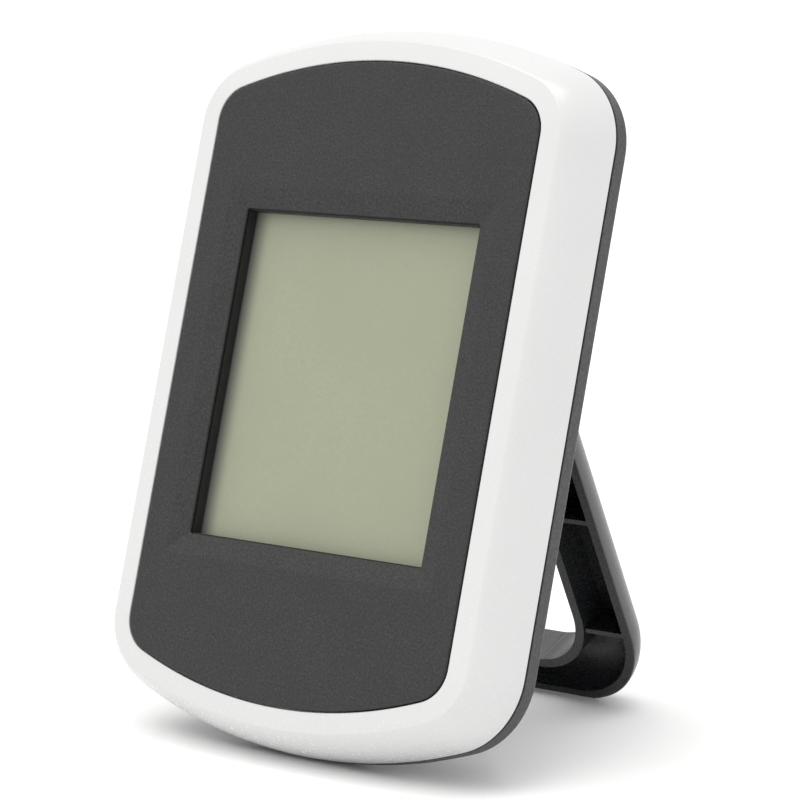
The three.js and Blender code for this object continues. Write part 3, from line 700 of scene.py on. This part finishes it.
MAKERS = {
    "white_plastic": white_plastic,
    "fascia_plastic": fascia_plastic,
    "cover_plastic": cover_plastic,
    "stand_plastic": stand_plastic,
    "holder_plastic": dark_plastic,
    "lcd_film": lcd_film,
    "lcd_glass": clear_glass,
    "reflector": reflector,
    "elastomer": elastomer,
    "board": board,
    "resin": resin,
    "steel": steel,
    "contact_metal": contact_metal,
    "component": component,
    "switch_plastic": dark_plastic,
    "button_plastic": button_plastic,
    "cell_sleeve": cell_sleeve,
    "red_wire": wire_skin,
    "black_wire": wire_skin,
}
LOOKS = {slot: maker(slot) for slot, maker in MAKERS.items()}


def look_of(node):
    return LOOKS[SLOT_OF[node]]


def dress_cad_nodes():
    """Every CAD node gets the material of its slot, whether it shows or is replaced."""
    for node, shape in frame["nodes"].items():
        shape.data.materials.clear()
        shape.data.materials.append(look_of(node))


# ---- Front ----
def crown():
    """The white frame's outer profile as (offset, z), from the seam round to the lip's inner edge."""
    seam, low, high, lip = (
        Vector((RIM - SKIN, SEAM_Z)),
        Vector((RIM - SKIN - SIDE_DRAFT, SEAM_Z / 2)),
        Vector((LIP_OFFSET + CROWN_RUN, FRAME_TOP - SKIN - CROWN_FALL)),
        Vector((LIP_OFFSET, FRAME_TOP - LIP_DROP)),
    )
    profile = []
    for step in range(CROWN_STEPS + 1):
        t = step / CROWN_STEPS
        s = 1 - t
        profile.append(seam * s**3 + low * 3 * t * s**2 + high * 3 * t**2 * s + lip * t**3)
    edge = rounded([(*lip, 0), (FACE_GAP, FRAME_TOP - SKIN, 0.2), (FACE_GAP, FLOOR_FRONT, 0)])
    return profile + edge[1:]


def front_frame():
    """The white frame: a crowned ring from the seam to the lip, and the floor that holds the display."""
    sections = [(outline(point.x), point.y) for point in crown()]
    opening = slab(DISPLAY[0], -DISPLAY[1], DISPLAY[1], DISPLAY_CORNER, DISPLAY_CORNER, 3, SIDE_STEPS)
    sections.append((opening, FLOOR_FRONT))
    sections.append((opening, FLOOR_BACK))
    for offset, z in ((CAVITY_TOP_OFFSET, FLOOR_BACK), (CAVITY_OFFSET, SEAM_Z), (RIM - 0.25, SEAM_Z)):
        sections.append((outline(offset), z))
    return stacked("front_frame", sections, closed=True)


def fascia():
    """The grey panel: a window with a sloped mitred border, and a soft outer edge."""
    break_width = 0.25
    sections = [
        (window_loop(0, WINDOW_CORNER), -FASCIA_THICK),
        (window_loop(0, WINDOW_CORNER), -BEVEL_DEPTH - 0.12),
        (window_loop(0.1, WINDOW_CORNER), -BEVEL_DEPTH),
        (window_loop(WINDOW_BEVEL - break_width, BEVEL_CORNER), -0.05),
        (window_loop(WINDOW_BEVEL, BEVEL_CORNER), -0.012),
        (window_loop(WINDOW_BEVEL + break_width, BEVEL_CORNER), 0),
    ]
    edge_fillet = 0.35
    edge = rounded([(-2, 0, 0), (0, 0, edge_fillet), (0, -FASCIA_THICK, 0)])
    sections.append((outline(-0.8), 0))
    sections.extend((outline(point.x), point.y) for point in edge[1:])
    return stacked("fascia", sections, closed=True)


# ---- Back ----
def stand_slot(grow):
    return slab(
        STAND_HALF_WIDTH + RECESS_CLEARANCE + grow,
        FOOT_Y - RECESS_CLEARANCE - grow,
        HINGE.y + STOP_REACH + GAP + grow,
        FOOT_CORNER + RECESS_CLEARANCE + grow,
        1 + grow,
    )


def cover_shell():
    """The chamfered cover, hollow behind, with the tongue that enters the front frame."""
    top = SEAM_Z - SEAM_GAP
    back_fillet, edge_fillet, seam_fillet = 1.2, 0.8, 0.1
    outer = rounded([
        (RIM - BACK_INSET - 6, BACK_Z, 0),
        (RIM - BACK_INSET, BACK_Z, back_fillet),
        (RIM, EDGE_Z, edge_fillet),
        (RIM, top, seam_fillet),
        (RIM - 2, top, 0),
    ])
    outside = case_loft("rear_shell", [(point.x, point.y) for point in outer])
    corner_inset = 0.75
    inside = case_loft("inside", [
        (RIM - BACK_INSET - corner_inset, BACK_Z + WALL),
        (RIM - WALL, EDGE_Z + corner_inset),
        (RIM - WALL, top + 1),
    ])
    tongue_hole = plate(outline(TONGUE_INNER), top - 1.5, SEAM_Z + 3)
    tongue = combine(plate(outline(TONGUE_OUTER), top - 1, SEAM_Z + 1.4), [tongue_hole], "DIFFERENCE")
    ledge_hole = plate(outline(TONGUE_INNER), top - 2, SEAM_Z + 3)
    ledge = combine(plate(outline(RIM - 0.6), top - 1.2, top - 0.02), [ledge_hole], "DIFFERENCE")
    shell = combine(outside, [inside], "DIFFERENCE")
    return combine(shell, [ledge, tongue], "UNION")


def cover_envelope():
    return case_loft("envelope", [(RIM - BACK_INSET, BACK_Z), (RIM, EDGE_Z), (RIM, SEAM_Z - GAP)])


def cover_body():
    """The shell with the recess for the stand, the battery tub and the screw wells standing inside it."""
    recess = plate(stand_slot(RECESS_WALL), BACK_Z + 0.02, RECESS_FLOOR + RECESS_WALL)
    combine(recess, [cover_envelope()], "INTERSECT")
    tub_x = BAY[0] + BAY_WALL
    tub = block(-tub_x, tub_x, BAY[1] - BAY_WALL, BAY[2] + BAY_WALL, BACK_Z + 2, BAY_FRONT + TUB_FLOOR)
    wells = []
    for place in SCREW_PLACES:
        bottom = BACK_Z + 0.05 if place[1] > 0 else RECESS_FLOOR
        wells.append(post(place, WELL_RADIUS, bottom, WELL_TOP))
    return combine(cover_shell(), [recess, tub, *wells], "UNION")


def cover_cuts():
    """What is cut from the back: the stand's slot, battery bay, door seat, screws, buttons and vents."""
    corner = HOLE_CORNER - 0.5
    hub = plate(slab(HUB_HALF_WIDTH, HUB_LOW, HUB_HIGH, corner, corner), BACK_Z - 2, RECESS_FLOOR + 1)
    slot = combine(plate(stand_slot(0), BACK_Z - 1, RECESS_FLOOR), [hub], "DIFFERENCE")
    cuts = [
        slot,
        block(-BAY[0], BAY[0], BAY[1], BAY[2], BACK_Z - 1.5, BAY_FRONT),
        plate(door_outline(GAP), BACK_Z - 1.2, BACK_Z + DOOR_THICK + GAP),
    ]
    cuts.extend(hub_pocket(side) for side in (-1, 1))
    cuts.extend(post(at, HEAD_HOLE, BACK_Z - 1, HEAD_SEAT) for at in SCREW_PLACES)
    cuts.extend(post(at, SHANK_HOLE, BACK_Z, SHANK_HOLE_TOP) for at in SCREW_PLACES)
    cuts.extend(post(at, BUTTON_HOLE, BACK_Z - 1, BACK_Z + WALL + 1) for at in BUTTON_PLACES)
    cuts.extend(vent(x) for x in VENT_PLACES)
    pin_reach = STAND_HALF_WIDTH + RECESS_CLEARANCE + RECESS_WALL + 0.2
    cuts.append(moved(rod(PIN_RADIUS + GAP, pin_reach), Matrix.Translation(HINGE)))
    cuts.append(under_ground(CASE))
    return cuts


def hub_pocket(side):
    """The hollow in the hub beside the battery bay, open to the inside of the case."""
    near, low, high = HUB_POCKET
    x_low, x_high = sorted((side * near, side * (HUB_HALF_WIDTH - RECESS_WALL)))
    floor = BACK_Z + DOOR_THICK + GAP + POCKET_FLOOR
    return block(x_low, x_high, low, high, floor, RECESS_FLOOR + 2)


def vent(x):
    """A slot with round ends that lets the room's air reach the sensor."""
    half = 0.6
    loop = [Vector((point.x + x, point.y)) for point in slab(half, 35, 41, half, half, SMALL_ARC_STEPS)]
    return plate(loop, BACK_Z - 1, BACK_Z + WALL + 1)


def under_ground(matrix):
    """Everything below the resting plane, in the frame that the matrix leads out of."""
    reach_out = 60
    ground = block(-reach_out, reach_out, -reach_out, reach_out, -40, 0)
    return moved(ground, matrix.inverted() @ Matrix.Scale(MM, 4))


def rear_cover():
    cover = combine(cover_body(), cover_cuts(), "DIFFERENCE")
    return soften(cover, 0.22)


def door_outline(grow):
    half_width, low, high = DOOR
    corner = DOOR_CORNER + grow
    return slab(half_width + grow, low - grow, high + grow, corner, corner)


def battery_door():
    """The door: a soft-edged plate with finger ridges and a tongue at its upper end."""
    front = BACK_Z + DOOR_THICK
    edge = rounded([(2, BACK_Z, 0), (0, BACK_Z, 0.4), (0, front, 0.15), (2, front, 0)])
    panel = stacked("battery_door", [(door_outline(-point.x), point.y) for point in edge])
    ridges = [finger_ridge(y) for y in RIDGE_HEIGHTS]
    tongue = block(-2.5, 2.5, DOOR[2] - 3, DOOR[2] - 1.6, BACK_Z + 0.3, BACK_Z + 1.9)
    return soften(combine(panel, [*ridges, tongue], "UNION"), 0.12)


def finger_ridge(y):
    """A round-ended ridge across the door, standing a little proud."""
    loop = [Vector((point.x, point.y + y)) for point in slab(4, -0.4, 0.4, 0.39, 0.39, SMALL_ARC_STEPS)]
    top = [Vector((point.x, point.y + y)) for point in slab(3.8, -0.2, 0.2, 0.19, 0.19, SMALL_ARC_STEPS)]
    shoulder = BACK_Z - 0.12
    return stacked("ridge", [(top, BACK_Z - RIDGE_PROUD), (loop, shoulder), (loop, BACK_Z + RIDGE_PROUD)])


def button(place):
    """A push button with a soft rim and a shallow dish for the fingertip."""
    back = BACK_Z - BUTTON_PROUD
    flange_back = BACK_Z + WALL + GAP
    flange_front = flange_back + FLANGE_THICK
    dish_radius = BUTTON_RADIUS * DISH_SHARE
    rim_fillet = 0.45
    angles = [step * math.pi / 16 for step in range(9)]
    dish = [(dish_radius * math.sin(a), back + DISH_DEPTH * math.cos(a) ** 2) for a in angles]
    rim = rounded([
        (dish_radius, back, 0),
        (BUTTON_RADIUS, back, rim_fillet),
        (BUTTON_RADIUS, flange_back, 0),
    ])
    stem = [
        (FLANGE_RADIUS, flange_back),
        (FLANGE_RADIUS, flange_front),
        (STEM_RADIUS, flange_front),
        (STEM_RADIUS, STEM_TOP),
        (0, STEM_TOP),
    ]
    return turned("button", [*dish, *[(point.x, point.y) for point in rim[1:]], *stem], place)


def case_screw(place):
    """A pan-head screw with a cross recess."""
    angles = [step * math.pi / 20 for step in range(11)]
    dome = [(HEAD_RADIUS * math.sin(a), SCREW_SEAT - HEAD_HEIGHT * math.cos(a)) for a in angles]
    shank_end = SCREW_SEAT + SHANK_LENGTH
    shank = [(SHANK_RADIUS, SCREW_SEAT), (SHANK_RADIUS, shank_end), (0, shank_end + POINT_LENGTH)]
    body = turned("case_screw", [*dome, *shank], place, 40)
    above, rim, bottom = (SCREW_SEAT + depth for depth in CROSS_DEPTH)
    cuts = []
    for half_x, half_y in (CROSS, CROSS[::-1]):
        loop = slab(half_x, -half_y, half_y, 0.1, 0.1, 3)
        floor = [point * CROSS_TAPER for point in loop]
        shape = stacked("cross", [(loop, above), (loop, rim), (floor, bottom)])
        cuts.append(moved(shape, Matrix.Translation((*place, 0))))
    return combine(body, cuts, "DIFFERENCE")


# ---- Stand ----
def stand_outline(inset, y_high, high_corner):
    """The leg's outline, drawn in from its edge."""
    return slab(STAND_HALF_WIDTH - inset, -STAND_LENGTH + inset, y_high, FOOT_CORNER - inset, high_corner)


def quarter_round(radius, start_inset):
    """A quarter round that turns in from the rim, as (inset, z), from its deepest point up."""
    angles = [step / ROUND_STEPS * math.pi / 2 for step in range(ROUND_STEPS, -1, -1)]
    half = STAND_THICK / 2
    return [(start_inset + radius * (1 - math.cos(a)), half - radius * math.sin(a)) for a in angles]


def stand_slab():
    """The outer form, folded flat: a bull-nosed slab with a fine round on its rim."""
    half = STAND_THICK / 2
    fillet = 0.25
    edge = [(inset, z) for inset, z in quarter_round(STAND_THICK - SKIN, SKIN) if z < half - fillet]
    rim = rounded([(SKIN, half - 2 * fillet, 0), (SKIN, half, fillet), (2 * fillet, half, 0)])
    edge.extend((point.x, point.y) for point in rim[1:])
    return stacked("stand", [(stand_outline(inset, 0, 0.6), z) for inset, z in edge])


def hole_outline(grow):
    corner = HOLE_CORNER + grow
    y_low = -STAND_LENGTH + FOOT_BAR - grow
    return slab(HOLE_HALF_WIDTH + grow, y_low, -HINGE_BAR + grow, corner, corner)


def stand_channel():
    """The hollow between the outer and inner rims, with the cross ribs left standing."""
    half = STAND_THICK / 2
    y_high = -HINGE_BAR / 2 - RIM_WALL
    edge = [*quarter_round(STAND_THICK - RIM_WALL, RIM_WALL), (RIM_WALL, half + 1)]
    channel = stacked("channel", [(stand_outline(inset, y_high, 1), z) for inset, z in edge])
    combine(channel, [plate(hole_outline(RIM_WALL), CHANNEL_FLOOR - 1, half + 2)], "DIFFERENCE")
    ribs = []
    for height in RIB_HEIGHTS:
        y = height - STAND_LENGTH
        y_low, y_high = y - RIB_THICK / 2, y + RIB_THICK / 2
        top = half - RIB_DROP
        ribs.append(block(-STAND_HALF_WIDTH, STAND_HALF_WIDTH, y_low, y_high, CHANNEL_FLOOR - 1, top))
    return combine(channel, ribs, "DIFFERENCE")


def heel():
    """The stop that meets the recess's top wall when the stand is open."""
    bar = block(-18, 18, 0, STOP_REACH, -1.2, 0.8)
    return moved(bar, Matrix.Rotation(-STAND_OPEN, 4, "X"))


def stand():
    body = combine(stand_slab(), [
        rod(STAND_THICK / 2, STAND_HALF_WIDTH),
        rod(PIN_RADIUS, STAND_HALF_WIDTH + PIN_LENGTH),
        heel(),
    ], "UNION")
    hole = plate(hole_outline(0), -STAND_THICK, STAND_THICK)
    combine(body, [hole, stand_channel(), under_ground(STAND)], "DIFFERENCE")
    return soften(body, 0.2)


# ---- Assembly ----
dress_cad_nodes()
finish_piece(front_frame(), "white_frame", "front_case", look_of("front_case"))
finish_piece(fascia(), "fascia", "fascia_panel", look_of("fascia_panel"))
finish_piece(rear_cover(), "back_cover", "rear_cover", look_of("rear_cover"))
finish_piece(battery_door(), "door", "battery_door", look_of("battery_door"))
finish_piece(stand(), "folding_stand", "stand", look_of("stand"), STAND)
for number, at in enumerate(BUTTON_PLACES, 1):
    node = f"button_{number}"
    finish_piece(button(at), f"push_button_{number}", node, look_of(node))
for number, at in enumerate(SCREW_PLACES, 1):
    node = f"case_screw_{number}"
    finish_piece(case_screw(at), f"cover_screw_{number}", node, look_of(node))


# ---- Studio ----
CAMERA_AZIMUTH = math.radians(39.035)
CAMERA_ELEVATION = math.radians(8.456)
CAMERA_ROLL = math.radians(-0.29)
CAMERA_DISTANCE = 0.45663
CAMERA_LENS = 146.68
CAMERA_AIM = Vector((0.008178, -0.013554, 0.05052))


def add_camera():
    data = bpy.data.cameras.new("camera")
    data.lens = CAMERA_LENS
    data.sensor_width = 36
    data.clip_start = 0.01
    data.clip_end = 50
    camera = bpy.data.objects.new("camera", data)
    bpy.context.scene.collection.objects.link(camera)
    level = math.cos(CAMERA_ELEVATION)
    back = Vector((
        math.sin(CAMERA_AZIMUTH) * level,
        -math.cos(CAMERA_AZIMUTH) * level,
        math.sin(CAMERA_ELEVATION),
    ))
    turn = (-back).to_track_quat("-Z", "Y").to_matrix() @ Matrix.Rotation(CAMERA_ROLL, 3, "Z")
    camera.matrix_world = Matrix.Translation(CAMERA_AIM + back * CAMERA_DISTANCE) @ turn.to_4x4()
    bpy.context.scene.camera = camera


def area_light(name, place, size, power):
    """A square soft light that faces the object."""
    data = bpy.data.lights.new(name, "AREA")
    data.energy = power
    data.size = size
    light = bpy.data.objects.new(name, data)
    light.location = place
    target = Vector((0, 0, 0.05))
    light.rotation_mode = "QUATERNION"
    light.rotation_quaternion = (target - Vector(place)).to_track_quat("-Z", "Y")
    bpy.context.scene.collection.objects.link(light)


def sun_light(name, direction, strength, spread, colour):
    """A far soft light from the given direction, as wide as the given angle in degrees."""
    data = bpy.data.lights.new(name, "SUN")
    data.energy = strength
    data.color = colour
    data.angle = math.radians(spread)
    light = bpy.data.objects.new(name, data)
    light.rotation_mode = "QUATERNION"
    light.rotation_quaternion = Vector(direction).to_track_quat("Z", "Y")
    bpy.context.scene.collection.objects.link(light)


def add_studio():
    world = bpy.data.worlds.new("studio")
    world.use_nodes = True
    background = world.node_tree.nodes["Background"]
    background.inputs["Color"].default_value = (1, 1, 1, 1)
    background.inputs["Strength"].default_value = 1.0
    bpy.context.scene.world = world
    sun_light("overhead", (-0.2, -0.38, 1), 1.25, 55, (1, 0.97, 0.93))
    area_light("key", (0.14, 0.06, 0.7), 0.3, 0.7)
    bpy.context.scene.view_settings.view_transform = "Standard"


def add_floor():
    """A wide pale table top."""
    half = 12
    places = ((-half, -half), (half, -half), (half, half), (-half, half))

    def build(work):
        work.faces.new([work.verts.new((x, y, 0)) for x, y in places])

    floor = mesh_object("floor", build)
    material = bpy.data.materials.new("floor")
    material.use_nodes = True
    shader = material.node_tree.nodes["Principled BSDF"]
    shader.inputs["Base Color"].default_value = (0.94, 0.94, 0.94, 1)
    shader.inputs["Roughness"].default_value = 0.9
    floor.data.materials.append(material)


add_camera()
add_studio()
add_floor()
